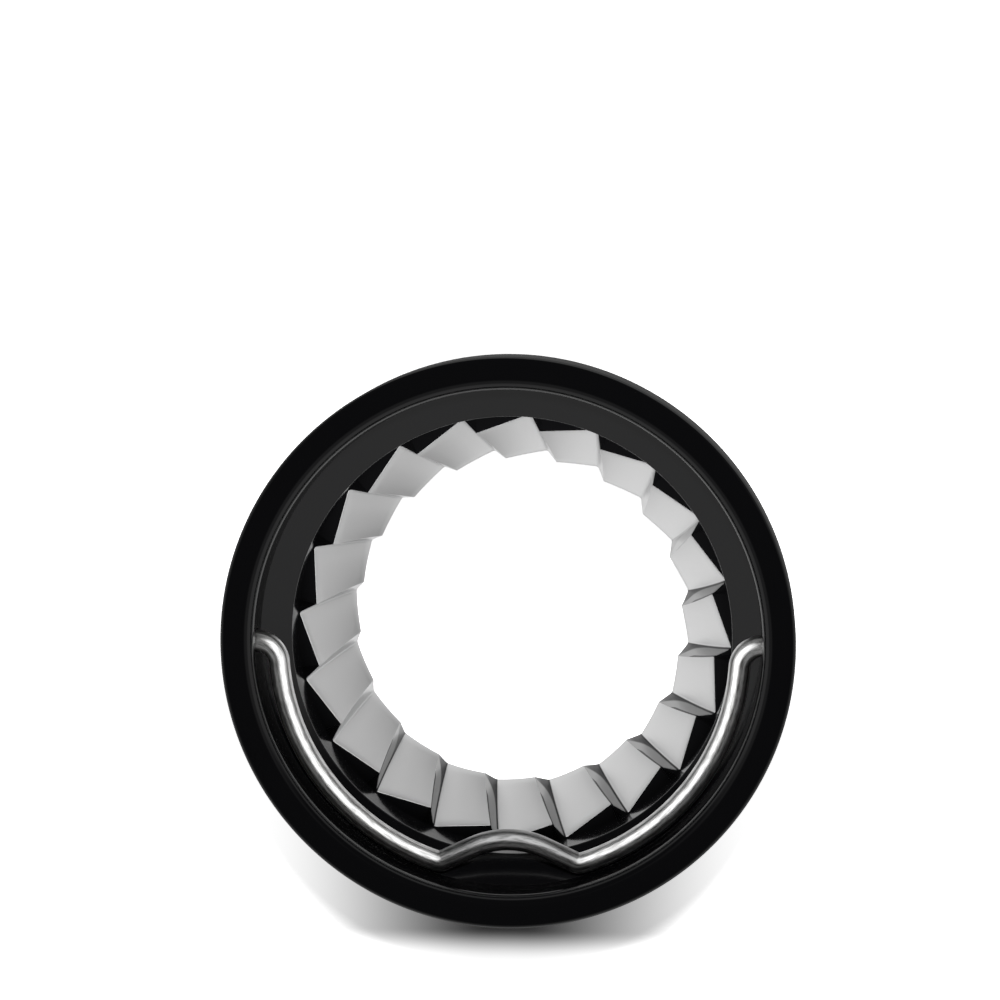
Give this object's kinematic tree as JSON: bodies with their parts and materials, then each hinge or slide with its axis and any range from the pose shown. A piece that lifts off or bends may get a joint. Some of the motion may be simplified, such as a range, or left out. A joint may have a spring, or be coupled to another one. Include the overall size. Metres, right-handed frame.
{
  "type": "coffee grinder burr",
  "caption": "Upper ring burr of a conical coffee grinder: a steel ring with leaning saw-tooth flutes in a black moulded carrier, lifted out by a folding wire handle.",
  "frame": {"origin": "on the ring's axis, at the burr's flat outlet face on which it stands", "axes": "+Z along the ring's axis toward the bean inlet; X through the two handle pivots; the folded handle lies on the -Y side"},
  "size_m": [0.066, 0.066, 0.034],
  "materials": {
    "black_plastic": "glossy black moulded plastic",
    "burr_steel": "satin ground steel, dark on its flat top face",
    "handle_wire": "drawn stainless steel wire"
  },
  "bodies": {
    "ring": {"burr_carrier": "black_plastic", "ring_burr": "burr_steel"},
    "handle": {"wire_handle": "handle_wire"}
  },
  "joints": [
    {"name": "handle_pivot", "type": "hinge", "parent": "ring", "child": "handle", "pos_m": [0, 0, 0.031], "axis": [-1, 0, 0], "range_deg": [0, 188.4]}
  ]
}
